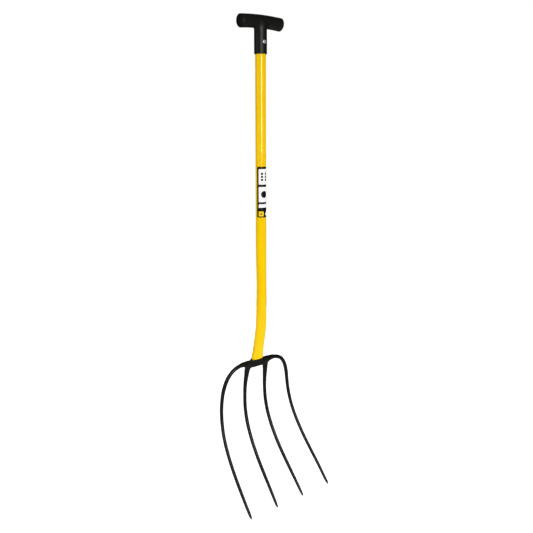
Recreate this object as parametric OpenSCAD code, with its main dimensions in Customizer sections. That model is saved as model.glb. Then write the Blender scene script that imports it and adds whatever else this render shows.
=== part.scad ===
// Long T-handled fork: four slender curved tines forged in one piece with a
// crossbar and a tang, a cranked steel tube with a pressed foot for a shaft, and a
// moulded T grip.
// Millimetres. +Z runs up the straight part of the shaft, +X runs across the
// tines and along the T grip, and -Y is the front, towards which the tines sweep.
// The origin is on the shaft axis, level with the underside of the T grip, where
// the fork hangs.

/* [Shaft] */
// Outside diameter of the tube
shaft_d = 28.6; // [27:0.1:30]
// Wall thickness of the tube
shaft_wall = 1.5; // [1.2:0.1:2]
// Distance from the origin down to the corner of the crank
crank_drop = 808; // [700:1:900]
// Angle by which the lower leg is cranked backwards
crank_angle = 11; // [6:0.5:14]
// Radius of the crank on the tube's centre line
crank_r = 260; // [150:5:350]
// Straight length of the lower leg under the crank
leg_len = 81; // [75:1:110]
// Length of the foot, over which the tube is pressed from round to an oval
foot_len = 44; // [30:1:60]
// Width of the foot's open end, across the tines
foot_w = 39.2; // [34:0.2:42]
// Thickness of the foot's open end, front to back
foot_t = 16.6; // [15:0.2:26]

/* [T handle] */
// Length of the grip between the outer faces of its flanges
grip_len = 132; // [110:1:150]
// Diameter of the grip
grip_d = 34.6; // [32:0.1:38]
// Height by which the middle of the grip stands above its ends
grip_rise = 3; // [1:0.5:6]
// Diameter of the cored hole in each half of the grip
core_d = 26; // [20:0.5:27]
// Depth of each cored hole
core_depth = 40; // [25:1:44]
// Outside diameter of the socket that slips over the shaft
socket_d = 34; // [33.5:0.1:38]
// Length of the socket under the grip
socket_len = 64.5; // [50:0.5:90]
// Radial clearance of the socket on the shaft
socket_gap = 0.05; // [0.02:0.01:0.15]
// Depth of the domed face of each end cap
cap_dome = 1.5; // [0.8:0.1:3]

/* [Handle rivet] */
// Distance of the rivet below the origin
rivet_drop = 34; // [20:1:50]
// Diameter of the rivet's flange
rivet_flange_d = 9.2; // [8:0.1:11]
// Diameter of the rivet's body
rivet_d = 4.8; // [4:0.1:6.4]

/* [Label] */
// Distance of the label's upper edge below the origin
label_drop = 357.5; // [200:0.5:450]
// Height of the label
label_len = 138; // [80:1:160]
// Angle that the label wraps round the front of the shaft
label_arc = 166; // [90:2:200]
// Thickness of the vinyl
label_t = 0.2; // [0.1:0.05:0.4]

/* [Tine head] */
// Width of the oval collar that the shaft stands on
collar_w = 45.2; // [42:0.2:50]
// Thickness of the collar, front to back
collar_t = 20.4; // [19:0.2:30]
// Height of the collar
collar_h = 5; // [4:0.5:8]
// Length of the flat tang inside the shaft
tang_len = 68; // [40:1:72]
// Width of the tang
tang_w = 24.8; // [18:0.2:25]
// Thickness of the tang
tang_t = 12.4; // [9:0.2:13]
// Diameter of the locking pin in the tang
pin_d = 5; // [4:0.1:6]
// Length of the locking pin
pin_len = 16; // [12:1:20]
// Thickness of the crossbar, front to back
bar_t = 16.8; // [14:0.2:19]
// Sides of the tines' cross-section
tine_sides = 12; // [8:1:16]

/* [Hidden] */
$fn = 96;

shaft_r = shaft_d / 2;
bore_r = shaft_r - shaft_wall;
tube_top = 4;
seat_r = shaft_r + socket_gap;
grip_r = grip_d / 2;
grip_z = grip_r;                          // height of the grip's axis at mid length
arch_r = (pow(grip_len / 2, 2) + pow(grip_rise, 2)) / (2 * grip_rise);
flange_t = 2.5;                           // flange of each end cap
arch_half = asin((grip_len / 2) / arch_r);   // to the outer face of a cap's flange
mould_half = asin((grip_len / 2 - flange_t) / arch_r);
crank_tan = crank_r * tan(crank_angle / 2);
bend_top = -crank_drop + crank_tan;
bend_end = [0, crank_r * (1 - cos(crank_angle)), bend_top - crank_r * sin(crank_angle)];
leg_end = bend_end + leg_len * [0, sin(crank_angle), -cos(crank_angle)];
pin_up = 36;                              // locking pin above the end of the shaft
spot_y = -16.3;                           // flat seat under the rivet's flange

// Centre line of one outer tine, from the middle of the crossbar to the point,
// and the radius of the section at each of its points.
outer_line = [[0, 21, -926, 10.8], [20, 20.5, -925.8, 10.6], [42, 20, -922.3, 7.8], [62.5, 18.5, -921.6, 5.5],
    [86, 18.5, -930.6, 5.3], [103.5, 22, -951.5, 5.6], [114.5, 25.5, -981, 5.4],
    [119.5, 27.5, -1010, 5.1], [123.5, 26, -1044, 4.9], [127, 18.5, -1080, 4.8],
    [130.5, 5, -1115, 4.7], [133.5, -14, -1148, 4.7], [136, -38, -1181, 4.6],
    [138.5, -67, -1215, 4.5], [140.5, -100, -1251, 4.3], [141.5, -126, -1280, 3.9],
    [142, -139, -1293.5, 0.6]];
// The same for one inner tine, from its root inside the crossbar.
inner_line = [[31.5, 20.5, -924, 7.8], [32.5, 24, -938, 8.6], [34, 26.5, -957, 7], [35.7, 30.8, -988, 5.5],
    [36.7, 32.2, -1023, 5], [38, 28.5, -1060, 5], [39.5, 17, -1100, 5.1],
    [41, -4, -1142, 4.9], [42.5, -32, -1182.5, 4.8], [44, -63, -1219, 4.6],
    [45.5, -98, -1257.5, 4.3], [46.5, -121, -1283.5, 3.9], [47, -134.5, -1298, 0.6]];

// Catmull-Rom value between b and c, with neighbours a and d.
function between(a, b, c, d, t) = 0.5 * (2 * b + (c - a) * t
    + (2 * a - 5 * b + 4 * c - d) * t * t + (3 * b - a - 3 * c + d) * t * t * t);

// Every point of a line of [x, y, z, r], each stretch cut into n: the place
// follows a smooth curve and the radius runs straight from point to point.
function sampled(line, n) = let (m = len(line) - 1) [
    for (i = [0 : m - 1], k = [0 : n - 1])
        let (t = k / n,
             p = between(line[max(i - 1, 0)], line[i], line[i + 1], line[min(i + 2, m)], t))
        [p.x, p.y, p.z, line[i][3] * (1 - t) + line[i + 1][3] * t],
    line[m]];

function unit(v) = v / norm(v);
function place(p) = [p.x, p.y, p.z];

// A closed rod along a line; ref fixes how its sections turn. The sections are
// round, but nowhere thicker along ref than flat to either side of the line.
module rod(line, ref, sides, flat) {
    n = len(line);
    dirs = [for (i = [0 : n - 1]) unit(place(line[min(i + 1, n - 1)]) - place(line[max(i - 1, 0)]))];
    pts = [for (i = [0 : n - 1])
        let (t = dirs[i], u = unit(ref - (ref * t) * t), v = cross(t, u))
        for (j = [0 : sides - 1])
            place(line[i]) + min(line[i][3], flat) * cos(360 * j / sides) * u + line[i][3] * sin(360 * j / sides) * v];
    sides_faces = [for (i = [0 : n - 2], j = [0 : sides - 1])
        let (a = i * sides + j, b = i * sides + (j + 1) % sides)
        each [[a, a + sides, b + sides], [a, b + sides, b]]];
    polyhedron(points = pts, faces = concat(sides_faces,
        [[for (j = [0 : sides - 1]) j]],
        [[for (j = [sides - 1 : -1 : 0]) (n - 1) * sides + j]]), convexity = 8);
}

// The frame of the lower leg: its origin is the centre of the shaft's end.
module at_leg_end() {
    translate(leg_end) rotate([crank_angle, 0, 0]) children();
}

// The frame of the grip's axis, at an angle round its arch.
module at_arch(angle) {
    translate([0, 0, grip_z - arch_r]) rotate([0, angle, 0]) translate([0, 0, arch_r]) children();
}

// A length of the grip's arch with round sections of radius r.
module arch(r, half) {
    translate([0, 0, grip_z - arch_r]) rotate([0, -half, 0]) rotate([90, 0, 0])
        rotate([0, 0, 90 - 2 * half])
            rotate_extrude(angle = 2 * half, $fn = 360) translate([arch_r, 0]) circle(r = r, $fn = 64);
}

module pin_hole() {
    translate([0, shaft_r + 1, pin_up]) rotate([90, 0, 0]) cylinder(r = pin_d / 2, h = pin_len + 1, $fn = 32);
}

module tine_head() color([0.05, 0.05, 0.055]) {
    left_right = [1, -1];
    difference() {
        union() {
            half = sampled(outer_line, 3);
            rod(concat([for (i = [len(half) - 1 : -1 : 1]) [-half[i].x, half[i].y, half[i].z, half[i][3]]], half),
                [0, 1, 0], tine_sides, bar_t / 2);
            for (s = left_right)
                rod([for (p = sampled(inner_line, 3)) [s * p.x, p.y, p.z, p[3]]], [1, 0, 0], tine_sides, bar_t / 2);
            at_leg_end() {
                oval_bar([[0, collar_w / 2 - 0.8, collar_t / 2 - 0.8], [-0.8, collar_w / 2, collar_t / 2],
                    [-collar_h, collar_w / 2, collar_t / 2], [-collar_h - 8, 15, 6]]);
                oval_bar([[tang_len, tang_w / 2 - 1.5, tang_t / 2 - 1.5], [tang_len - 3, tang_w / 2, tang_t / 2],
                    [-3, tang_w / 2, tang_t / 2]]);
            }
        }
        at_leg_end() pin_hole();
    }
}

module shaft_tube() color([0.96, 0.74, 0.02]) {
    difference() {
        difference() {
            cranked(shaft_r);
            cranked(bore_r);
        }
        at_leg_end() pin_hole();
        translate([0, -8, -rivet_drop]) rotate([90, 0, 0]) cylinder(d = rivet_d, h = 12, $fn = 32);
    }
}

// A bar along the whole of the shaft's centre line. The bend and the pressed foot
// are a little fatter than the straight lengths, which end inside them.
module cranked(r) {
    lap = 1.5;
    swell = 0.25;
    translate([0, 0, bend_top - lap]) cylinder(r = r, h = tube_top - bend_top + lap);
    translate([0, crank_r, bend_top]) rotate([0, 90, 0]) rotate([0, 0, -90])
        rotate_extrude(angle = crank_angle, $fn = 360) translate([crank_r, 0]) circle(r = r + swell, $fn = 96);
    at_leg_end() {
        translate([0, 0, foot_len]) cylinder(r = r, h = leg_len - foot_len + lap);
        oval_bar([for (h = [foot_len + lap, 0.75 * foot_len, 0.5 * foot_len, 0.25 * foot_len, 0.08 * foot_len, 0])
            let (k = pow(1 - min(h / foot_len, 1), 1.4), edge = shaft_r - r)
            [h, (r + swell) * (1 - k) + (foot_w / 2 - edge) * k, (r + swell) * (1 - k) + (foot_t / 2 - edge) * k]]);
    }
}

// A closed bar of oval sections, each [height, half width, half thickness], from
// the top down.
module oval_bar(rows) {
    n = 48;
    m = len(rows);
    polyhedron(points = [for (row = rows, j = [0 : n - 1]) [row[1] * cos(360 * j / n), -row[2] * sin(360 * j / n), row[0]]],
        faces = concat([for (i = [0 : m - 2], j = [0 : n - 1])
            let (a = i * n + j, b = i * n + (j + 1) % n) each [[a, a + n, b + n], [a, b + n, b]]],
            [[for (j = [0 : n - 1]) j]], [[for (j = [n - 1 : -1 : 0]) (m - 1) * n + j]]), convexity = 4);
}

module head_pin() color([0.25, 0.25, 0.26]) {
    at_leg_end() difference() {
        translate([0, shaft_r - 0.6, pin_up]) rotate([90, 0, 0])
            difference() {
                cylinder(r = pin_d / 2, h = pin_len - 0.2, $fn = 32);
                translate([0, 0, -1]) cylinder(r = pin_d / 2 - 0.9, h = pin_len + 2, $fn = 32);
            }
        translate([-0.5, shaft_r - pin_len - 1, pin_up]) cube([1, pin_len + 2, pin_d]);
    }
}

module t_handle() color([0.06, 0.06, 0.065]) {
    difference() {
        union() {
            arch(grip_r, mould_half);
            rotate_extrude() polygon([[0, grip_z], [0, -socket_len], [socket_d / 2 - 1, -socket_len],
                [socket_d / 2, -socket_len + 1], [socket_d / 2, grip_z]]);
        }
        for (s = [-1, 1]) at_arch(s * mould_half) rotate([0, s * 90, 0])
            translate([0, 0, -core_depth]) cylinder(d = core_d, h = core_depth + 5, $fn = 64);
        translate([0, 0, -socket_len - 1]) cylinder(r = seat_r, h = socket_len + 1 + tube_top);
        translate([0, -8, -rivet_drop]) rotate([90, 0, 0]) cylinder(d = rivet_d, h = 12, $fn = 32);
        translate([0, spot_y, -rivet_drop]) rotate([90, 0, 0]) cylinder(d = rivet_flange_d + 0.8, h = 4, $fn = 48);
    }
}

// A push-in cap: a domed flange flush with the grip, and a hollow plug in the core.
module grip_cap(s) {
    dome_r = (pow(grip_r - 1, 2) + pow(cap_dome, 2)) / (2 * cap_dome);
    edge = asin((grip_r - 1) / dome_r);
    crown = [for (a = [0 : 5]) dome_r * [sin(edge * (1 - a / 5)), cos(edge * (1 - a / 5)) - 1]
        + [0, flange_t + cap_dome]];
    at_arch(s * mould_half) rotate([0, s * 90, 0]) difference() {
        rotate_extrude() polygon(concat([[0, 0], [core_d / 2 - 2.5, 0], [core_d / 2 - 2.5, -7],
            [core_d / 2, -7], [core_d / 2, 0], [grip_r, 0], [grip_r, flange_t - 1]], crown));
        translate([0, 0, flange_t + cap_dome - 0.6]) cylinder(r = 1.2, h = 2, $fn = 24);
    }
}

module grip_cap_left() color([0.08, 0.08, 0.085]) grip_cap(-1);

module grip_cap_right() color([0.08, 0.08, 0.085]) grip_cap(1);

// A blind rivet's body: a domed flange, a shank through both walls, and the
// bulb that draws up behind the shaft's wall.
module handle_rivet() color([0.8, 0.8, 0.8]) {
    hole = 1.35;
    y_in = -bore_r;
    translate([0, spot_y, -rivet_drop]) rotate([90, 0, 0]) difference() {
        union() {
            rotate_extrude($fn = 64) polygon([[0, 0], [rivet_flange_d / 2, 0], [rivet_flange_d / 2 - 0.2, 0.45],
                [rivet_flange_d / 2 - 1.4, 1.1], [2.2, 1.3], [0, 1.3]]);
            translate([0, 0, spot_y - y_in]) cylinder(d = rivet_d, h = y_in - spot_y, $fn = 32);
            translate([0, 0, spot_y - y_in - 0.8]) mirror([0, 0, 1])
                rotate_extrude($fn = 48) polygon([[0, -0.8], [rivet_d / 2, -0.8], [3.4, 0.2], [3.4, 3], [2.2, 4.2], [0, 4.2]]);
        }
        translate([0, 0, -9]) cylinder(r = hole, h = 12, $fn = 24);
    }
}

// What is left of the rivet's mandrel: the broken stem and its head.
module rivet_mandrel() color([0.3, 0.3, 0.31]) {
    y_in = -bore_r;
    base = spot_y - y_in - 0.8 - 4.2;
    translate([0, spot_y, -rivet_drop]) rotate([90, 0, 0]) {
        translate([0, 0, base]) cylinder(r = 1.35, h = 0.7 - base, $fn = 24);
        translate([0, 0, base - 1.8]) cylinder(r = 2.2, h = 1.8, $fn = 32);
    }
}

module label() color([0.03, 0.03, 0.03]) {
    translate([0, 0, -label_drop - label_len]) rotate([0, 0, -90 - label_arc / 2])
        rotate_extrude(angle = label_arc, $fn = 192) translate([shaft_r, 0]) square([label_t, label_len]);
}

tine_head();
shaft_tube();
head_pin();
t_handle();
grip_cap_left();
grip_cap_right();
handle_rivet();
rivet_mandrel();
label();
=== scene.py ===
import math

import bmesh
import bpy
import numpy as np
from mathutils import Matrix, Vector


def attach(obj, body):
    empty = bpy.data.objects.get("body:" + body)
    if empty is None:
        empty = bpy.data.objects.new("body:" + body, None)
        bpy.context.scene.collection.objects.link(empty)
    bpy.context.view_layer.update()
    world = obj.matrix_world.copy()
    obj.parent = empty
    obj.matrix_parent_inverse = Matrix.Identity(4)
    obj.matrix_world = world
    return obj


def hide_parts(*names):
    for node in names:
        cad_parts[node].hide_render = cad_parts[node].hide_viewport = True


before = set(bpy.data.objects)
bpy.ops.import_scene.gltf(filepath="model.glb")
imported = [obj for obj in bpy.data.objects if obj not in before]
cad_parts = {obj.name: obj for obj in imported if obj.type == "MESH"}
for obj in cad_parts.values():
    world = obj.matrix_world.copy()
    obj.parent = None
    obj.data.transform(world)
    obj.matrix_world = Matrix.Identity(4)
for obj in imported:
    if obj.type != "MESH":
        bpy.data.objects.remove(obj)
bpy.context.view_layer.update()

MM = 0.001
scene = bpy.context.scene

# --------------------------------------------------------------- dimensions, mm
SHAFT_R, BORE_R, TUBE_TOP = 14.3, 12.8, 4.0
CRANK_R, CRANK_A, LEG_LEN = 260.0, math.radians(11), 81.0
BEND_TOP = -808 + CRANK_R * math.tan(CRANK_A / 2)
BEND_END = np.array([0, CRANK_R * (1 - math.cos(CRANK_A)), BEND_TOP - CRANK_R * math.sin(CRANK_A)])
LEG_DOWN = np.array([0, math.sin(CRANK_A), -math.cos(CRANK_A)])
LEG_BACK = np.array([0, math.cos(CRANK_A), math.sin(CRANK_A)])
LEG_END = BEND_END + LEG_LEN * LEG_DOWN
GRIP_R, GRIP_Z, GRIP_RISE, GRIP_LEN, FLANGE = 17.3, 17.3, 3.0, 132.0, 2.5
ARCH_R = ((GRIP_LEN / 2) ** 2 + GRIP_RISE ** 2) / (2 * GRIP_RISE)
MOULD_HALF = math.asin((GRIP_LEN / 2 - FLANGE) / ARCH_R)
SOCKET_R, SOCKET_LEN, SEAT_R = 17.0, 64.5, 14.35
CORE_R, CORE_DEPTH = 13.0, 40.0
SPOT_Y, RIVET_Z = -16.3, -34.0
PIN_UP, PIN_R, PIN_LEN = 36.0, 2.5, 16.0
FOOT_LEN, FOOT_X, FOOT_Y = 44.0, 19.6, 8.3
COLLAR_X, COLLAR_Y, COLLAR_H = 22.6, 10.2, 5.0
TANG_X, TANG_Y, TANG_LEN = 12.4, 6.2, 68.0
LABEL_TOP, LABEL_LEN, LABEL_ARC, LABEL_T = -357.5, 138.0, math.radians(166), 0.2
X_AXIS = np.array([1.0, 0, 0])

# Centre lines of an outer and an inner tine. Each point: place, radius,
# exponent of the section's outline (2 is round, more is squarer, less has
# ridges), and its depth and width as shares of the radius.
OUTER = [[0, 21, -926, 10.8, 3.2, .76, 1], [20, 20.5, -925.8, 10.6, 3.1, .77, 1], [42, 20, -922.3, 7.8, 2.7, .94, .99],
         [62.5, 18.5, -921.6, 5.5, 2.2, 1, 1.0], [86, 18.5, -930.6, 5.3, 1.9, 1, 1.0], [103.5, 22, -951.5, 5.65, 1.9, .98, 1],
         [114.5, 25.5, -981, 5.45, 2, 1, 1], [119.5, 27.5, -1010, 5.1, 2, 1, 1], [123.5, 26, -1044, 4.9, 2, 1, 1],
         [127, 18.5, -1080, 4.8, 2, 1, 1], [130.5, 5, -1115, 4.7, 2, 1, 1], [133.5, -14, -1148, 4.7, 2, 1, 1],
         [136, -38, -1181, 4.6, 2, 1, 1], [138.5, -67, -1215, 4.5, 2, 1, 1], [140.5, -100, -1251, 4.3, 2, .98, .98],
         [141.15, -126, -1280, 4.0, 1.9, .97, .99],
         [141.5, -133.1, -1287.1, 3.5, 1.8, .95, .98], [141.65, -137.7, -1292.2, 1.4, 1.9, 1, 1]]
INNER = [[31.5, 20.5, -924, 6.2, 2, 1, 1], [32.5, 24, -938, 8.5, 1.85, 1, .98], [34, 26.5, -957, 6.9, 1.65, 1.05, 1.05],
         [35.7, 30.8, -988, 5.5, 1.7, 1.05, 1.05], [36.7, 31.8, -1023, 5.0, 1.85, 1.03, .99], [38, 28.5, -1060, 5, 2, 1, 1],
         [39.5, 17, -1100, 5.1, 2, 1, 1], [41, -4, -1142, 4.9, 2, 1, 1], [42.5, -32, -1182.5, 4.8, 2, 1, 1],
         [44, -63, -1219, 4.6, 2, 1, 1], [45.5, -98, -1257.5, 4.3, 2, .98, .98], [46.5, -121, -1283.5, 3.9, 1.9, .97, .99],
         [46.85, -128.2, -1291.4, 3.4, 1.8, .95, .98], [47, -133.2, -1296.7, 1.4, 1.9, 1, 1]]


# --------------------------------------------------------------- mesh helpers
def raw(name, verts, faces):
    """An object from points in millimetres, with its faces turned outwards."""
    mesh = bpy.data.meshes.new(name)
    mesh.from_pydata((np.asarray(verts, float) * MM).tolist(), [], faces)
    bm = bmesh.new()
    bm.from_mesh(mesh)
    bmesh.ops.recalc_face_normals(bm, faces=bm.faces)
    bm.to_mesh(mesh)
    bm.free()
    obj = bpy.data.objects.new(name, mesh)
    scene.collection.objects.link(obj)
    return obj


def dress(obj, mat, nodes=(), angle=35.0):
    """Shading, finish, slot and body of a finished piece."""
    mesh = obj.data
    mesh.materials.clear()
    mesh.materials.append(mat)
    mesh.polygons.foreach_set("use_smooth", [True] * len(mesh.polygons))
    mesh.set_sharp_from_angle(angle=math.radians(angle))
    mesh.update()
    if nodes:
        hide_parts(*nodes)
    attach(obj, "root")
    return obj


def skin(rings, closed=False):
    """Points and faces over rings of equal count. closed joins the last ring to the first; otherwise both ends are capped."""
    n, m = len(rings), len(rings[0])
    faces = []
    for i in range(n if closed else n - 1):
        a, b = i * m, ((i + 1) % n) * m
        faces += [(a + j, a + (j + 1) % m, b + (j + 1) % m, b + j) for j in range(m)]
    if not closed:
        faces += [tuple(range(m)), tuple(range((n - 1) * m, n * m))]
    return np.concatenate(rings), faces


def lathe(profile, origin, axis, segs=96, closed=False):
    """Points and faces of a turned shape. profile is (radius, height) from one end to the other; a radius of 0 is a single point."""
    axis = np.asarray(axis, float) / np.linalg.norm(axis)
    side = X_AXIS if abs(axis[0]) < 0.9 else np.array([0, 1.0, 0])
    u = side - (side @ axis) * axis
    u /= np.linalg.norm(u)
    v = np.cross(axis, u)
    verts, rows, faces = [], [], []
    for r, h in profile:
        base = np.asarray(origin, float) + h * axis
        if r < 1e-6:
            rows.append([len(verts)] * segs)
            verts.append(base)
        else:
            rows.append(list(range(len(verts), len(verts) + segs)))
            verts += [base + r * (math.cos(a) * u + math.sin(a) * v) for a in np.arange(segs) * 2 * math.pi / segs]
    pairs = list(zip(rows[:-1], rows[1:])) + ([(rows[-1], rows[0])] if closed else [])
    for a, b in pairs:
        for j in range(segs):
            k = (j + 1) % segs
            ring = []
            for i in (a[j], a[k], b[k], b[j]):
                if i not in ring:
                    ring.append(i)
            if len(ring) > 2:
                faces.append(tuple(ring))
    return np.array(verts), faces


def arc(cx, cy, r, a0, a1, n=6):
    """Points of a rounded corner, in degrees."""
    return [(cx + r * math.cos(math.radians(a)), cy + r * math.sin(math.radians(a))) for a in np.linspace(a0, a1, n)]


def joined(parts):
    """Several (points, faces) as one."""
    verts, faces, n = [], [], 0
    for v, f in parts:
        verts.append(v)
        faces += [tuple(i + n for i in face) for face in f]
        n += len(v)
    return np.concatenate(verts), faces


def evaluated(obj):
    """Replaces an object's mesh by what its modifiers make of it."""
    mesh = bpy.data.meshes.new_from_object(obj.evaluated_get(bpy.context.evaluated_depsgraph_get()))
    obj.modifiers.clear()
    obj.data = mesh
    return obj


def cut(obj, tools):
    """Subtracts closed tools from an object."""
    for tool in tools:
        mod = obj.modifiers.new("cut", "BOOLEAN")
        mod.operation, mod.solver, mod.object = "DIFFERENCE", "EXACT", tool
    evaluated(obj)
    for tool in tools:
        bpy.data.objects.remove(tool)
    return obj


def smooth_step(x):
    x = np.clip(x, 0, 1)
    return x * x * (3 - 2 * x)


def eased(points, x, reach):
    """A value from control points, with its corners eased over a reach in mm."""
    points = sorted(points)
    xs, ys = np.array([p[0] for p in points]), np.array([p[1] for p in points])
    offsets = np.linspace(-1, 1, 21)
    weights = (1 - offsets ** 2) ** 2
    total = sum(w * np.interp(np.asarray(x) + o * reach, xs, ys) for o, w in zip(offsets, weights))
    return total / weights.sum()


def unevenness(p, size, seed):
    """A smooth random field of points in mm, about -1 to 1, with features of the given size."""
    rng = np.random.default_rng(seed)
    total = np.zeros(len(p))
    for k in range(9):
        d = rng.normal(size=3)
        d *= 2 * math.pi / (np.linalg.norm(d) * size * rng.uniform(0.7, 1.6))
        total += np.sin(p @ d + rng.uniform(0, 6.28))
    return total / 4.5


# --------------------------------------------------------------- solid fields
def smin(a, b, k):
    h = np.clip(0.5 + 0.5 * (b - a) / k, 0, 1)
    return b * (1 - h) + a * h - k * h * (1 - h)


def smax(a, b, k):
    return -smin(-a, -b, k)


def oval_field(x, y, h, a, b, low, high, edge, e=2.2):
    """Field of an upright bar of oval section between two heights, with rounded edges."""
    rho = np.maximum((np.abs(x / a) ** e + np.abs(y / b) ** e) ** (1 / e), 1e-6)
    q1 = np.hypot(x, y) * (1 - 1 / rho) + edge
    q2 = np.abs(h - (low + high) / 2) - ((high - low) / 2 - edge)
    return np.hypot(np.maximum(q1, 0), np.maximum(q2, 0)) + np.minimum(np.maximum(q1, q2), 0) - edge


def sampled(line, n):
    """A smooth curve through a line's points; what follows the place runs straight from point to point."""
    pts = np.asarray(line, float)
    m = len(pts) - 1
    out = []
    for i in range(m):
        a, b, c, d = pts[max(i - 1, 0)], pts[i], pts[i + 1], pts[min(i + 2, m)]
        for t in np.arange(n) / n:
            q = 0.5 * (2 * b + (c - a) * t + (2 * a - 5 * b + 4 * c - d) * t * t + (3 * b - a - 3 * c + d) * t ** 3)
            q[3:] = b[3:] * (1 - t) + c[3:] * t
            out.append(q)
    return np.array(out + [pts[m]])


class Bar:
    """A bar of changing section along a smooth line."""

    def __init__(self, line, ref, n=8):
        self.s = sampled(line, n)
        p = self.s[:, :3]
        t = np.gradient(p, axis=0)
        t /= np.linalg.norm(t, axis=1)[:, None]
        ref = np.asarray(ref, float)
        e1 = ref - (t @ ref)[:, None] * t
        self.e1 = e1 / np.linalg.norm(e1, axis=1)[:, None]
        self.e2 = np.cross(t, self.e1)
        self.t = t
        self.a, self.d = p[:-1], np.diff(p, axis=0)
        self.l2 = (self.d ** 2).sum(1)

    def rings(self, sides=16, grow=1.0, least=0.0, mirror=1):
        turns = np.arange(sides) * 2 * math.pi / sides
        flip = np.array([mirror, 1, 1])
        return [(row[:3] + max(row[3] * grow, least) * (np.cos(turns)[:, None] * u + np.sin(turns)[:, None] * v)) * flip
                for row, u, v in zip(self.s, self.e1, self.e2)]

    def field(self, p):
        f = np.empty(len(p))
        for lo in range(0, len(p), 6000):
            q = p[lo:lo + 6000]
            w = q[:, None] - self.a
            t = np.clip(np.einsum("ijk,jk->ij", w, self.d) / self.l2, 0, 1)
            g = w - t[..., None] * self.d
            dist = np.sqrt(np.einsum("ijk,ijk->ij", g, g)) - (self.s[:-1, 3] * (1 - t) + self.s[1:, 3] * t)
            k, i = dist.argmin(1), np.arange(len(q))
            tk, gk = t[i, k][:, None], g[i, k]
            row = self.s[k] * (1 - tk) + self.s[k + 1] * tk
            r = row[:, 3]
            u = np.abs((gk * (self.e1[k] * (1 - tk) + self.e1[k + 1] * tk)).sum(1)) / (r * row[:, 5])
            v = np.abs((gk * (self.e2[k] * (1 - tk) + self.e2[k + 1] * tk)).sum(1)) / (r * row[:, 6])
            along = (gk * (self.d[k] / np.sqrt(self.l2[k])[:, None])).sum(1) / r
            e = row[:, 4]
            rho = (np.maximum(u, 1e-9) ** e + np.maximum(v, 1e-9) ** e) ** (1 / e)
            f[lo:lo + 6000] = (np.hypot(rho, along) - 1) * r
        return f


def settle(obj, field, rounds=6, ease=None, ease_rounds=3):
    """Moves a mesh's points onto the surface where field is 0, with some evening out of the points where ease says."""
    mesh = obj.data
    n = len(mesh.vertices)
    co = np.empty(n * 3)
    mesh.vertices.foreach_get("co", co)
    co = co.reshape(-1, 3) / MM
    edges = np.empty(len(mesh.edges) * 2, int)
    mesh.edges.foreach_get("vertices", edges)
    edges = edges.reshape(-1, 2)
    count = np.bincount(edges.ravel(), minlength=n)[:, None]
    normals = np.empty(n * 3, np.float32)
    for k in range(rounds):
        if ease is not None and k < ease_rounds:
            total = np.zeros((n, 3))
            for axis in range(3):
                total[:, axis] = np.bincount(edges[:, 0], co[edges[:, 1], axis], n) + np.bincount(edges[:, 1], co[edges[:, 0], axis], n)
            co += (total / count - co) * 0.6 * ease(co)[:, None]
        mesh.vertices.foreach_set("co", (co * MM).ravel())
        mesh.update()
        mesh.vertex_normals.foreach_get("vector", normals)
        co -= normals.reshape(-1, 3) * (np.clip(field(co), -1.5, 1.5) * 0.9)[:, None]
    mesh.vertices.foreach_set("co", (co * MM).ravel())
    mesh.update()
    return obj


def remeshed(name, parts, voxel):
    """One closed mesh of even squares over several overlapping closed shapes."""
    obj = raw(name, *joined(parts))
    mod = obj.modifiers.new("remesh", "REMESH")
    mod.mode, mod.voxel_size, mod.adaptivity = "VOXEL", voxel * MM, 0
    return evaluated(obj)


# --------------------------------------------------------------- materials
def node(tree, kind, inputs=None, **settings):
    n = tree.nodes.new(kind)
    for k, v in settings.items():
        setattr(n, k, v)
    for k, v in (inputs or {}).items():
        if isinstance(v, bpy.types.NodeSocket):
            tree.links.new(v, n.inputs[k])
        else:
            n.inputs[k].default_value = v
    return n


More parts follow.
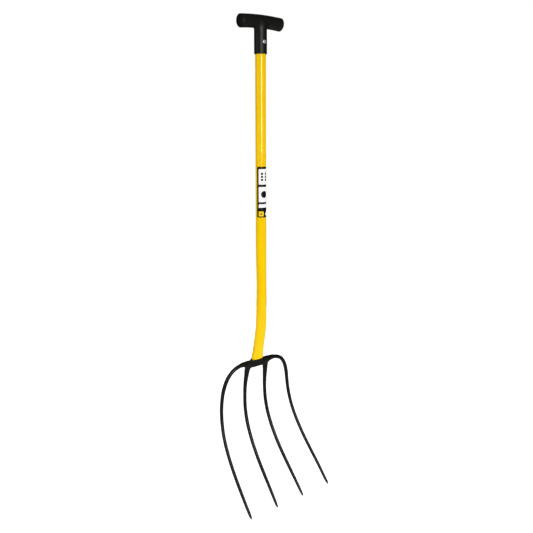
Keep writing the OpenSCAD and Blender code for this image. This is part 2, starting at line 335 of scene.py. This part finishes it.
class Finish:
    """A material under construction: one Principled shader and short names for the nodes that feed it."""

    def __init__(self, name):
        self.mat = bpy.data.materials.new(name)
        self.mat.use_nodes = True
        self.t = self.mat.node_tree
        self.t.nodes.clear()
        out = node(self.t, "ShaderNodeOutputMaterial")
        self.bsdf = node(self.t, "ShaderNodeBsdfPrincipled")
        self.t.links.new(self.bsdf.outputs[0], out.inputs[0])
        self.place = node(self.t, "ShaderNodeTexCoord").outputs["Object"]
        self.normal = None

    def noise(self, scale, detail=3.0, rough=0.5, stretch=None, distortion=0.0):
        at = self.place
        if stretch:
            at = node(self.t, "ShaderNodeMapping", {"Vector": at, "Scale": stretch}).outputs[0]
        return node(self.t, "ShaderNodeTexNoise", {"Vector": at, "Scale": scale, "Detail": detail, "Roughness": rough, "Distortion": distortion}).outputs[0]

    def cells(self, scale, feature="F1", randomness=1.0, at=None):
        return node(self.t, "ShaderNodeTexVoronoi", {"Vector": at or self.place, "Scale": scale, "Randomness": randomness}, feature=feature).outputs["Distance"]

    def axis(self, name):
        return node(self.t, "ShaderNodeSeparateXYZ", {0: self.place}).outputs[name]

    def fit(self, value, a, b, c=0.0, d=1.0, smooth=False):
        return node(self.t, "ShaderNodeMapRange", {"Value": value, "From Min": a, "From Max": b, "To Min": c, "To Max": d},
                    interpolation_type="SMOOTHSTEP" if smooth else "LINEAR").outputs[0]

    def maths(self, op, a, b=0.0):
        return node(self.t, "ShaderNodeMath", {0: a, 1: b}, operation=op).outputs[0]

    def blend(self, fac, a, b):
        n = node(self.t, "ShaderNodeMix", data_type="RGBA")
        for i, v in ((0, fac), (6, a), (7, b)):
            if isinstance(v, bpy.types.NodeSocket):
                self.t.links.new(v, n.inputs[i])
            else:
                n.inputs[i].default_value = v if i == 0 else (*v, 1)
        return n.outputs[2]

    def bump(self, height, distance, strength=1.0):
        inputs = {"Height": height, "Distance": distance, "Strength": strength}
        if self.normal:
            inputs["Normal"] = self.normal
        self.normal = node(self.t, "ShaderNodeBump", inputs).outputs[0]

    def done(self, **inputs):
        if self.normal:
            inputs["Normal"] = self.normal
        for k, v in inputs.items():
            k = k.replace("_", " ")
            if isinstance(v, bpy.types.NodeSocket):
                self.t.links.new(v, self.bsdf.inputs[k])
            else:
                self.bsdf.inputs[k].default_value = (*v, 1) if isinstance(v, tuple) and len(v) == 3 else v
        return self.mat


def yellow_powder_coat():
    f = Finish("yellow_powder_coat")
    broad = f.noise(14, 3)
    cloud = f.noise(120, 4, 0.6)
    colour = f.blend(f.fit(broad, 0.35, 0.65), (0.90, 0.562, 0.0005), (0.94, 0.592, 0.0007))
    colour = f.blend(f.fit(cloud, 0.3, 0.75, 0, 0.25), colour, (0.86, 0.54, 0.0005))
    # Fine handling scratches along the tube.
    scratch = f.fit(f.noise(60, 2, 0.6, (26, 26, 0.7)), 0.66, 0.70)
    scratch = f.maths("MULTIPLY", scratch, f.fit(f.noise(22, 2), 0.48, 0.62))
    colour = f.blend(f.maths("MULTIPLY", scratch, 0.35), colour, (0.95, 0.66, 0.02))
    # Small chips down to the dark primer, only close to the collar.
    chip = f.fit(f.noise(520, 3, 0.6), 0.70, 0.72)
    chip = f.maths("MULTIPLY", chip, f.fit(f.axis("Z"), -0.880, -0.905))
    colour = f.blend(chip, colour, (0.05, 0.045, 0.04))
    rough = f.fit(cloud, 0.25, 0.75, 0.27, 0.36)
    rough = f.maths("ADD", rough, f.maths("MULTIPLY", scratch, 0.12))
    f.bump(f.noise(620, 2, 0.45), 0.00012, 0.35)      # orange peel
    f.bump(f.noise(3600, 2), 0.00002, 0.25)
    f.bump(f.maths("MULTIPLY", f.maths("ADD", scratch, chip), -1), 0.00006, 0.5)
    return f.done(Base_Color=colour, Roughness=rough, Coat_Weight=0.6, Coat_Roughness=0.13, Specular_IOR_Level=0.0)


def black_forging_paint():
    f = Finish("black_forging_paint")
    broad = f.noise(35, 4, 0.6)
    fine = f.noise(420, 5, 0.65)
    colour = f.blend(f.fit(broad, 0.35, 0.65), (0.0024, 0.0022, 0.0015), (0.0060, 0.0056, 0.0040))
    colour = f.blend(f.fit(fine, 0.55, 0.75, 0, 0.5), colour, (0.011, 0.0103, 0.0080))
    # Raised edges rub a little lighter, most of all near the points.
    ridge = f.fit(node(f.t, "ShaderNodeNewGeometry").outputs["Pointiness"], 0.53, 0.60)
    low = f.fit(f.axis("Z"), -1.18, -1.29, 0.12, 1)
    wear = f.maths("MULTIPLY", f.maths("MULTIPLY", ridge, low), f.fit(fine, 0.42, 0.62))
    colour = f.blend(wear, colour, (0.10, 0.098, 0.095))
    rough = f.maths("ADD", f.fit(fine, 0.3, 0.7, 0.34, 0.50), f.maths("MULTIPLY", wear, -0.08))
    f.bump(f.noise(170, 3, 0.55), 0.00035, 0.35)      # hammer scale under the paint
    f.bump(f.noise(900, 4, 0.6), 0.00008, 0.5)
    pit = f.fit(f.cells(480), 0.05, 0.22, 1, 0, True)
    f.bump(f.maths("MULTIPLY", pit, f.fit(fine, 0.5, 0.7)), 0.00012, -0.5)
    return f.done(Base_Color=colour, Roughness=rough, Specular_IOR_Level=0.4)


def black_moulding(name, base, rough_low, rough_high, seam):
    f = Finish(name)
    broad = f.noise(45, 3)
    fine = f.noise(1500, 3, 0.6)
    lighter = tuple(c * 1.5 for c in base)
    colour = f.blend(f.fit(broad, 0.35, 0.65, 0, 0.6), base, lighter)
    colour = f.blend(f.fit(fine, 0.45, 0.75, 0, 0.35), colour, tuple(c * 2.2 for c in base))
    # Sharp edges and rims are made lighter: a painted highlight standing in for light caught on the rounded rims of the
    # grip and caps.
    edge = f.fit(node(f.t, "ShaderNodeNewGeometry").outputs["Pointiness"], 0.54, 0.62, 0, 0.5)
    colour = f.blend(edge, colour, tuple(c * 2.6 for c in base))
    rough = f.fit(f.noise(260, 4, 0.6), 0.3, 0.7, rough_low, rough_high)
    grain = f.cells(1150, at=node(f.t, "ShaderNodeMapping", {"Vector": f.place, "Scale": (1, 1, 1)}).outputs[0])
    f.bump(grain, 0.00007, 0.5)                       # spark-eroded grain
    f.bump(fine, 0.00004, 0.4)
    if seam:
        # Fine witness line where the two halves of the mould met.
        line = f.fit(f.maths("ABSOLUTE", f.axis("Y")), 0.00012, 0.00045, 1, 0, True)
        f.bump(line, 0.00012, 0.8)
    return f.done(Base_Color=colour, Roughness=rough, Specular_IOR_Level=0.27)


def aluminium():
    f = Finish("rivet_aluminium")
    fine = f.noise(1800, 3)
    colour = f.blend(f.fit(fine, 0.35, 0.7), (0.74, 0.74, 0.75), (0.6, 0.6, 0.62))
    f.bump(f.noise(1400, 2, 0.5, (1, 1, 1)), 0.00005, 0.4)
    return f.done(Base_Color=colour, Metallic=0.35, Roughness=f.fit(fine, 0.3, 0.7, 0.26, 0.4))


def steel(name, base, rough, metallic=1.0):
    f = Finish(name)
    fine = f.noise(1300, 4, 0.6)
    colour = f.blend(f.fit(fine, 0.35, 0.7), base, tuple(c * 0.5 for c in base))
    f.bump(f.noise(2200, 3), 0.00006, 0.6)
    return f.done(Base_Color=colour, Metallic=metallic, Roughness=f.fit(fine, 0.3, 0.7, rough, rough + 0.15))


def print_film(name, base, speck, rough):
    f = Finish(name)
    cloud = f.noise(160, 3)
    fine = f.noise(2600, 2)
    colour = f.blend(f.fit(cloud, 0.3, 0.7, 0, 0.6), base, speck)
    colour = f.blend(f.fit(fine, 0.55, 0.8, 0, 0.3), colour, speck)
    rub = f.fit(f.noise(50, 2, 0.6, (30, 30, 1)), 0.63, 0.68)
    f.bump(f.noise(240, 2), 0.00006, 0.3)             # film laid over the coat under it
    f.bump(f.noise(2800, 2), 0.00001, 0.4)
    return f.done(Base_Color=colour, Roughness=f.maths("ADD", f.fit(cloud, 0.3, 0.7, rough, rough + 0.08), f.maths("MULTIPLY", rub, 0.1)),
                  Specular_IOR_Level=0.25)


YELLOW = yellow_powder_coat()
FORGED = black_forging_paint()
PLASTIC = black_moulding("handle_polymer", (0.0052, 0.0052, 0.0040), 0.40, 0.52, True)
CAP_PLASTIC = black_moulding("cap_polymer", (0.0052, 0.0050, 0.0048), 0.34, 0.46, False)
ALUMINIUM = aluminium()
MANDREL = steel("mandrel_steel", (0.016, 0.015, 0.014), 0.6, 0.3)
PIN = steel("spring_steel", (0.16, 0.155, 0.15), 0.32)
VINYL = print_film("label_black", (0.0035, 0.0035, 0.0035), (0.008, 0.008, 0.008), 0.26)
WHITE_INK = print_film("label_white_ink", (0.92, 0.92, 0.915), (0.88, 0.88, 0.875), 0.32)
YELLOW_INK = print_film("label_yellow_ink", (0.93, 0.66, 0.001), (0.88, 0.60, 0.001), 0.3)
DOT_INK = print_film("label_red_ink", (0.16, 0.02, 0.012), (0.12, 0.015, 0.01), 0.3)


# --------------------------------------------------------------- shaft
# The crank's press squeezes the tube a little from both sides above the bend,
# spreads it in the bend, and pushes it forwards; (height, half width across X) and (height, push).
PINCH = [(10, 14.3), (-505, 14.3), (-530, 14.7), (-572, 14.7), (-593, 14.3), (-626, 13.6), (-659, 13.1), (-684, 12.95),
         (-705, 13.15), (-725, 13.6), (-745, 14.35), (-762, 14.9), (-785, 15.6), (-830, 15.7), (-885, 15.6), (-905, 15.2), (-950, 15.0)]
PUSH = [(10, 0), (-560, 0), (-613, -0.4), (-647, -0.9), (-682, -1.75), (-717, -1.7), (-734.5, -1.5), (-752, -1.1),
        (-770, -0.6), (-788, -0.25), (-806, 0.1), (-825, 0.1), (-845, 0), (-950, 0)]


def shaft_line(step):
    """Points down the shaft's centre line, step mm apart, from its top to its end."""
    straight = TUBE_TOP - BEND_TOP
    total = straight + CRANK_R * CRANK_A + LEG_LEN
    out = []
    for s in np.append(np.arange(0, total, step), total):
        if s <= straight:
            out.append([0, 0, TUBE_TOP - s])
        elif s <= straight + CRANK_R * CRANK_A:
            a = (s - straight) / CRANK_R
            out.append([0, CRANK_R * (1 - math.cos(a)), BEND_TOP - CRANK_R * math.sin(a)])
        else:
            out.append(BEND_END + (s - straight - CRANK_R * CRANK_A) * LEG_DOWN)
    out = np.array(out)
    out[:, 1] += eased(PUSH, out[:, 2], 12)
    return out


def make_shaft():
    line = shaft_line(1.0)
    t = np.gradient(line, axis=0)
    t /= np.linalg.norm(t, axis=1)[:, None]
    back = np.cross(X_AXIS, t)
    back *= np.sign(back[:, 1])[:, None]
    z = line[:, 2]
    keep = [i for i in range(len(line)) if i in (0, len(line) - 1) or i % (20 if z[i] > -590 else 4 if z[i] > -865 else 2) == 0]
    half_x = eased(PINCH, z, 9)
    half_y = SHAFT_R + 0.25 * (SHAFT_R - half_x)
    # The foot is pressed from round to a wide oval.
    up = np.linalg.norm(line - line[-1], axis=1)
    k = np.clip(1 - up / FOOT_LEN, 0, 1) ** 1.4
    half_x, half_y = half_x * (1 - k) + FOOT_X * k, half_y * (1 - k) + FOOT_Y * k
    squareness = 2 + 0.5 * k
    turns = np.arange(96) * 2 * math.pi / 96
    c, s = np.cos(turns)[:, None], np.sin(turns)[:, None]

    def ring(i, inset, along=0.0):
        grow = (np.abs(c) ** squareness[i] + np.abs(s) ** squareness[i]) ** (-1 / squareness[i])
        return line[i] + along * t[i] + (half_x[i] - inset) * grow * c * X_AXIS + (half_y[i] - inset) * grow * s * back[i]

    last = len(line) - 1
    outside = [ring(0, 0.35), ring(0, 0.1, 0.1), ring(0, 0, 0.4)] + [ring(i, 0) for i in keep[1:-1]]
    outside += [ring(last, 0, -0.45), ring(last, 0.1, -0.12), ring(last, 0.4)]
    wall = SHAFT_R - BORE_R
    inside = [ring(last, wall - 0.3)] + [ring(last, wall, -0.3)] + [ring(i, wall) for i in keep[-2:0:-1]] + [ring(0, wall, 0.3), ring(0, wall - 0.3)]
    obj = raw("shaft", *skin(outside + inside, closed=True))
    hole = [(0, -12), (2.4, -12), (2.4, 12), (0, 12)]
    rivet_tool = raw("tool_rivet", *lathe(hole, (0, -14, RIVET_Z), (0, 1, 0), 48))
    pin_tool = raw("tool_pin", *lathe([(0, -10), (PIN_R, -10), (PIN_R, 4), (0, 4)],
                                      LEG_END - PIN_UP * LEG_DOWN + SHAFT_R * LEG_BACK, LEG_BACK, 48))
    cut(obj, [rivet_tool, pin_tool])
    return dress(obj, YELLOW, ["shaft_tube"])


# --------------------------------------------------------------- tine head
OUTER_BAR, INNER_BAR = Bar(OUTER, (0, 1, 0)), Bar(INNER, (1, 0, 0))


def head_field(p):
    q = np.column_stack([np.abs(p[:, 0]), p[:, 1], p[:, 2]])
    rel = p - LEG_END
    x, y, h = rel[:, 0], rel @ LEG_BACK, -(rel @ LEG_DOWN)
    bar = smin(OUTER_BAR.field(q), INNER_BAR.field(q), 7)
    k = np.clip((h + COLLAR_H + 9) / 9, 0, 1)
    neck = oval_field(x, y, h, 14 + 7 * k, 6 + 3.6 * k, -COLLAR_H - 9, -COLLAR_H + 1, 1)
    bar = smin(bar, neck, 5)
    bar += 0.10 * (0.5 * unevenness(p, 17, 5) + 0.5 * unevenness(p, 7, 9)) - 0.12
    collar = oval_field(x, y, h, COLLAR_X, COLLAR_Y, -COLLAR_H, 0, 1.3)
    tang = oval_field(x, y, h, TANG_X, TANG_Y, -3, TANG_LEN, 1.5)
    return np.minimum(smin(bar, collar, 1.6), tang)


def oval_rings(rows, sides=72):
    turns = np.arange(sides) * 2 * math.pi / sides
    return [LEG_END - h * LEG_DOWN + a * np.cos(turns)[:, None] * X_AXIS + b * np.sin(turns)[:, None] * LEG_BACK for h, a, b in rows]


def make_head():
    parts = []
    half = OUTER_BAR.rings(20, 1.0, 0.9)
    other = OUTER_BAR.rings(20, 1.0, 0.9, -1)
    parts.append(skin([r for r in other[::-1]] + half[1:]))
    for side in (1, -1):
        parts.append(skin(INNER_BAR.rings(20, 1.0, 0.9, side)))
    parts.append(skin(oval_rings([(0, COLLAR_X - 0.5, COLLAR_Y - 0.5), (-0.5, COLLAR_X, COLLAR_Y), (-COLLAR_H, COLLAR_X, COLLAR_Y), (-COLLAR_H - 8, 15, 6)])))
    parts.append(skin(oval_rings([(TANG_LEN, TANG_X - 1, TANG_Y - 1), (TANG_LEN - 1, TANG_X, TANG_Y), (-3, TANG_X, TANG_Y)])))
    obj = remeshed("fork_head", parts, 0.85)
    settle(obj, head_field, 8, ease=lambda p: smooth_step((p[:, 2] + 1010) / 25) * 0.9 + 0.05, ease_rounds=5)
    pin_tool = raw("tool_pin", *lathe([(0, -PIN_LEN - 1), (PIN_R, -PIN_LEN - 1), (PIN_R, 4), (0, 4)],
                                      LEG_END - PIN_UP * LEG_DOWN + SHAFT_R * LEG_BACK, LEG_BACK, 48))
    cut(obj, [pin_tool])
    return dress(obj, FORGED, ["tine_head"], 75)


def make_pin():
    """A slotted spring pin with chamfered ends."""
    base = LEG_END - PIN_UP * LEG_DOWN + (SHAFT_R - 0.6) * LEG_BACK
    gap = math.asin(0.5 / PIN_R)
    turns = np.linspace(math.pi / 2 + gap, math.pi * 2.5 - gap, 41)
    rings = []
    for d, r, inner in ((0, 2.15, 1.75), (0.45, 2.46, 1.62), (15.3, 2.46, 1.62), (15.8, 2.15, 1.75)):
        arm = np.cos(turns)[:, None] * X_AXIS - np.sin(turns)[:, None] * LEG_DOWN
        centre = base - d * LEG_BACK
        rings.append(np.concatenate([centre + r * arm, (centre + inner * arm)[::-1]]))
    verts, faces = skin(rings)
    faces = faces[:-2]
    m, top = len(rings[0]), (len(rings) - 1) * len(rings[0])
    for base_index in (0, top):
        faces += [(base_index + j, base_index + j + 1, base_index + m - 2 - j, base_index + m - 1 - j) for j in range(m // 2 - 1)]
    return dress(raw("locking_pin", verts, faces), PIN, ["head_pin"])


# --------------------------------------------------------------- T handle
def handle_field(p):
    dz = p[:, 2] - (GRIP_Z - ARCH_R)
    s = np.arctan2(p[:, 0], dz) * ARCH_R
    r = 17.05 + 0.2 * smooth_step((np.abs(s) - 46) / 12)
    grip = np.hypot(np.hypot(p[:, 0], dz) - ARCH_R, p[:, 1]) - r
    grip = smax(grip, np.abs(s) - MOULD_HALF * ARCH_R, 1.2)
    rho = np.hypot(p[:, 0], p[:, 1])
    socket = smax(rho - SOCKET_R, -SOCKET_LEN - p[:, 2], 1.8)
    socket = np.maximum(socket, p[:, 2] - 12)
    return smin(grip, socket, 6) + 0.03 * unevenness(p, 26, 3)


def arch_end(side):
    """Centre and outward direction of one end of the moulded grip."""
    a = side * MOULD_HALF
    return (np.array([ARCH_R * math.sin(a), 0, GRIP_Z - ARCH_R + ARCH_R * math.cos(a)]),
            np.array([math.cos(a), 0, -math.sin(a)]) * side)


def make_handle():
    angles = np.linspace(-MOULD_HALF, MOULD_HALF, 25)
    turns = np.arange(64) * 2 * math.pi / 64
    rings = [np.array([[0, 0, GRIP_Z - ARCH_R]]) + (ARCH_R + 17.1 * np.cos(turns))[:, None] * np.array([math.sin(a), 0, math.cos(a)])
             + (17.1 * np.sin(turns))[:, None] * np.array([0, 1.0, 0]) for a in angles]
    socket = lathe([(0, -SOCKET_LEN), (16.4, -SOCKET_LEN), (17, -SOCKET_LEN + .6), (17, 12), (0, 12)], (0, 0, 0), (0, 0, 1), 72)
    obj = remeshed("t_grip", [skin(rings), socket], 0.6)
    settle(obj, handle_field, 7, ease=lambda p: 0.3 + 0.6 * (np.abs(p[:, 2] - 2) < 9) * (np.abs(p[:, 0]) < 26), ease_rounds=4)
    tools = [raw("tool_bore", *lathe([(0, -SOCKET_LEN - 2), (SEAT_R + 0.5, -SOCKET_LEN - 2), (SEAT_R + 0.5, -SOCKET_LEN), (SEAT_R, -SOCKET_LEN + 0.6),
                                      (SEAT_R, TUBE_TOP), (0, TUBE_TOP)], (0, 0, 0), (0, 0, 1), 96))]
    for side in (-1, 1):
        at, out = arch_end(side)
        tools.append(raw("tool_core", *lathe([(0, -CORE_DEPTH), (CORE_R - 0.6, -CORE_DEPTH), (CORE_R, -CORE_DEPTH + 0.6), (CORE_R, 4), (0, 4)], at, out, 72)))
    tools.append(raw("tool_spot", *lathe([(0, 0), (5.0, 0), (5.0, 4), (0, 4)], (0, SPOT_Y, RIVET_Z), (0, -1, 0), 64)))
    tools.append(raw("tool_hole", *lathe([(0, -8), (2.4, -8), (2.4, 1), (0, 1)], (0, SPOT_Y, RIVET_Z), (0, -1, 0), 48)))
    cut(obj, tools)
    return dress(obj, PLASTIC, ["t_handle"], 65)


def make_cap(side):
    at, out = arch_end(side)
    rim = 17.25
    profile = [(0, 0.05), (10.5, 0.05), (10.5, -6.8), (10.7, -7), (12.6, -7), (12.9, -6.6), (12.92, -0.3), (13.2, 0.05)]
    profile += arc(rim - 0.45, 0.5, 0.45, -90, 0, 5) + arc(rim - 1.3, 1.3, 1.3, 0, 78, 9)
    # A shallow step inside the rim, then the domed face with its dimple.
    profile += [(15.9, 2.58), (15.55, 2.42), (15.2, 2.48), (14.6, 2.72)]
    dome_r = (14.6 ** 2 + 1.28 ** 2) / (2 * 1.28)
    for r in np.linspace(13.2, 1.7, 9):
        profile.append((r, 4.0 - dome_r + math.sqrt(dome_r ** 2 - r ** 2)))
    profile += [(1.4, 3.93), (1.22, 3.8), (1.15, 3.5), (0.95, 3.4), (0, 3.38)]
    name = "left" if side < 0 else "right"
    return dress(raw(f"cap_{name}", *lathe(profile, at, out, 96)), CAP_PLASTIC, [f"grip_cap_{name}"], 32)


def make_rivet():
    at = (0, SPOT_Y, RIVET_Z)
    profile = [(1.4, -8.3), (1.4, -0.2), (1.66, 0.0), (1.7, 0.75), (1.76, 0.98), (1.98, 1.18), (2.4, 1.28), (2.9, 1.22), (3.5, 1.0), (4.05, 0.66), (4.4, 0.4), (4.58, 0.22),
               (4.6, 0.1), (4.5, 0.01), (2.38, 0.01), (2.38, -3.5), (2.7, -4.1), (3.3, -4.9), (3.4, -5.8), (3.3, -7), (2.9, -7.9), (2.2, -8.5), (1.6, -8.55)]
    rivet = dress(raw("rivet", *lathe(profile, at, (0, -1, 0), 72, closed=True)), ALUMINIUM, ["handle_rivet"], 50)
    stem = [(0, -10.6), (1.8, -10.6), (2.1, -10.4), (2.2, -9.9), (2.2, -9.1), (1.9, -8.75), (1.36, -8.6), (1.36, 0.0), (1.6, 0.2), (1.6, 0.6), (1.5, 0.78), (1.1, 0.88), (0.6, 0.8), (0.3, 0.9), (0, 0.86)]
    verts, faces = lathe(stem, at, (0, -1, 0), 40)
    broken = verts[:, 1] < SPOT_Y - 0.6
    verts[broken, 1] += 0.09 * unevenness(verts[broken], 0.9, 11)
    dress(raw("rivet_stem", verts, faces), MANDREL, ["rivet_mandrel"], 40)
    return rivet


# --------------------------------------------------------------- label
def on_shaft(t, z, r):
    """A point on the shaft's front: t is the distance round from the middle of the front, towards +X."""
    a = t / (SHAFT_R + LABEL_T)
    return np.array([r * math.sin(a), -r * math.cos(a), z])


def patch(name, t0, t1, low, high, r0, r1, step=0.7):
    """A thin closed sheet on the shaft between two edges; low and high give its lower and upper edge at t."""
    ts = np.linspace(t0, t1, max(3, int(abs(t1 - t0) / step) + 1))
    rings = []
    for t in ts:
        lo, hi = low(t), high(t)
        zs = np.linspace(lo, hi, 9)
        rings.append(np.array([on_shaft(t, z, r1) for z in zs] + [on_shaft(t, z, r0) for z in zs[::-1]]))
    verts, faces = skin(rings)
    faces = faces[:-2]
    m = len(rings[0])
    for start in (0, (len(rings) - 1) * m):
        faces += [(start + j, start + j + 1, start + m - 2 - j, start + m - 1 - j) for j in range(m // 2 - 1)]
    return verts, faces


def rounded_edges(t0, t1, z0, z1, corner):
    """Lower and upper edge of a rectangle with rounded corners."""
    def inset(t):
        d = min(t - t0, t1 - t)
        return 0.0 if d >= corner else corner - math.sqrt(max(0.0, corner ** 2 - (corner - max(d, 0)) ** 2))
    return (lambda t: z0 + inset(t)), (lambda t: z1 - inset(t))


def rectangle(t0, t1, z0, z1, corner, r0, r1, fine=0.35):
    low, high = rounded_edges(t0, t1, z0, z1, corner)
    return patch("", t0, t1, low, high, r0, r1, fine)


def make_label():
    r0, r1 = SHAFT_R + 0.01, SHAFT_R + LABEL_T
    half = LABEL_ARC / 2 * (SHAFT_R + LABEL_T)
    z0, z1 = LABEL_TOP - LABEL_LEN, LABEL_TOP
    dress(raw("label_film", *rectangle(-half, half, z0, z1, 2.2, r0, r1)), VINYL, ["label"], 40)
    ink0, ink1 = r1 - 0.02, r1 + 0.03
    white = []
    # Two plain white blocks, the upper one with two rows of dots and the lower
    # one with one large dot, over a rule and a disc. They stand for nothing.
    white.append(rectangle(-15.8, 15.8, -405.5, -363.5, 1.2, ink0, ink1))
    white.append(rectangle(-15.8, 15.8, -453.5, -412, 1.2, ink0, ink1))
    white.append(rectangle(-15.8, 15.8, -468.5, -458.8, 1.0, ink0, ink1))
    radius, ct, cz = 5.4, 9.6, -486
    ring = lambda t, s: cz + s * math.sqrt(max(0.02, radius ** 2 - (t - ct) ** 2))
    white.append(patch("", ct - radius, ct + radius, lambda t: ring(t, -1), lambda t: ring(t, 1), ink0, ink1, 0.35))
    obj = raw("label_marks_white", *joined(white))
    dress(obj, WHITE_INK, (), 40)
    def dot(t, z, r):
        return rectangle(t - r, t + r, z - r, z + r, r - 0.02, ink0 + 0.02, ink1 + 0.02, 0.25)

    dots = [dot(t, z, 3.3) for t in (-6.4, 5.8) for z in (-376.3, -384.5, -392.7)] + [dot(0, -432.5, 9.4)]
    dress(raw("label_marks_black", *joined(dots)), VINYL, (), 40)
    yellow = rectangle(-15.8, -1.6, -492.3, -478.6, 1.3, ink0, ink1)
    dress(raw("label_mark_yellow", *yellow), YELLOW_INK, (), 40)
    dress(raw("label_mark_dot", *dot(-8.7, -485.6, 2.6)), DOT_INK, (), 40)


make_shaft()
make_head()
make_pin()
make_handle()
make_cap(-1)
make_cap(1)
make_rivet()
make_label()


# --------------------------------------------------------------- studio
def studio():
    world = bpy.data.worlds.new("studio")
    scene.world = world
    world.use_nodes = True
    t = world.node_tree
    t.nodes.clear()
    seen = node(t, "ShaderNodeBackground", {"Color": (1, 1, 1, 1), "Strength": 1.0})
    fill = node(t, "ShaderNodeBackground", {"Color": (1, 1, 1, 1), "Strength": 0.42})
    path = node(t, "ShaderNodeLightPath")
    mix = node(t, "ShaderNodeMixShader", {0: path.outputs["Is Camera Ray"], 1: fill.outputs[0], 2: seen.outputs[0]})
    out = node(t, "ShaderNodeOutputWorld")
    t.links.new(mix.outputs[0], out.inputs[0])
    world.cycles_visibility.glossy = False            # as if the room were hung with black cloth

    f = Finish("pale_floor")
    tone = f.blend(f.fit(f.noise(6, 2), 0.3, 0.7, 0, 0.4), (0.90, 0.90, 0.895), (0.88, 0.88, 0.875))
    mat = f.done(Base_Color=tone, Roughness=0.75, Emission_Color=(1.0, 1.0, 1.0), Emission_Strength=0.75)
    floor = raw("floor", *lathe([(0, 0), (1900, 0), (1900, -8), (0, -8)], (0, -40, -1299.2), (0, 0, 1), 96))
    floor.data.materials.append(mat)
    floor.visible_glossy = False

    def area(name, azimuth, low, high, width, distance, power, mirrored=True):
        """A soft upright light. azimuth is from the front, -Y, towards +X; heights in mm."""
        light = bpy.data.lights.new(name, "AREA")
        light.shape, light.size, light.size_y, light.energy = "RECTANGLE", width, (high - low) * MM, power
        obj = bpy.data.objects.new(name, light)
        a = math.radians(azimuth)
        at = Vector((distance * math.sin(a), -distance * math.cos(a), (low + high) / 2 * MM))
        aim = Vector((0, 0, at.z))
        obj.matrix_world = Matrix.Translation(at) @ (at - aim).to_track_quat("Z", "Y").to_matrix().to_4x4()
        obj.visible_glossy = mirrored
        scene.collection.objects.link(obj)
        return obj

    area("key_strip", -17, -470, 900, 0.8, 2.4, 46).visible_diffuse = False
    area("front_fill", -10, -1300, 400, 2.2, 3.2, 46, False)
    area("side_strip", -102, -700, 700, 0.4, 2.4, 8)
    area("back_fill", 142, -1300, 400, 2.2, 3.2, 22, False).visible_camera = False
    for name, size, power, at, turn in (("top", 1.2, 6, (0.1, -0.3, 2.0), 0), ("low_card", 3.7, 9, (0, 0, -1.2988), math.pi)):
        light = bpy.data.lights.new(name, "AREA")
        light.shape, light.size, light.energy = "DISK", size, power
        obj = bpy.data.objects.new(name, light)
        obj.location, obj.rotation_euler = at, (turn, 0, 0)
        obj.visible_camera = obj.visible_diffuse = not turn
        scene.collection.objects.link(obj)


def camera():
    cam = bpy.data.cameras.new("camera")
    cam.lens, cam.sensor_width, cam.sensor_fit = 43.4259, 36.0, "HORIZONTAL"
    cam.shift_x, cam.shift_y = 0.0, -0.0300188
    cam.clip_start, cam.clip_end = 0.05, 50
    obj = bpy.data.objects.new("camera", cam)
    right = Vector((0.78552215, -0.61883284, -0.00093090))
    up = Vector((0.12297289, 0.15462234, 0.98029057))
    forward = Vector((0.60649206, 0.77015443, -0.19755894))
    at = Vector((-1.0753612, -1.3900666, -0.2361629))
    obj.matrix_world = Matrix(((right.x, up.x, -forward.x, at.x), (right.y, up.y, -forward.y, at.y),
                               (right.z, up.z, -forward.z, at.z), (0, 0, 0, 1)))
    scene.collection.objects.link(obj)
    scene.camera = obj


studio()
camera()
scene.view_settings.view_transform = "Standard"
scene.view_settings.look = "None"
scene.view_settings.exposure = 0
scene.view_settings.gamma = 1
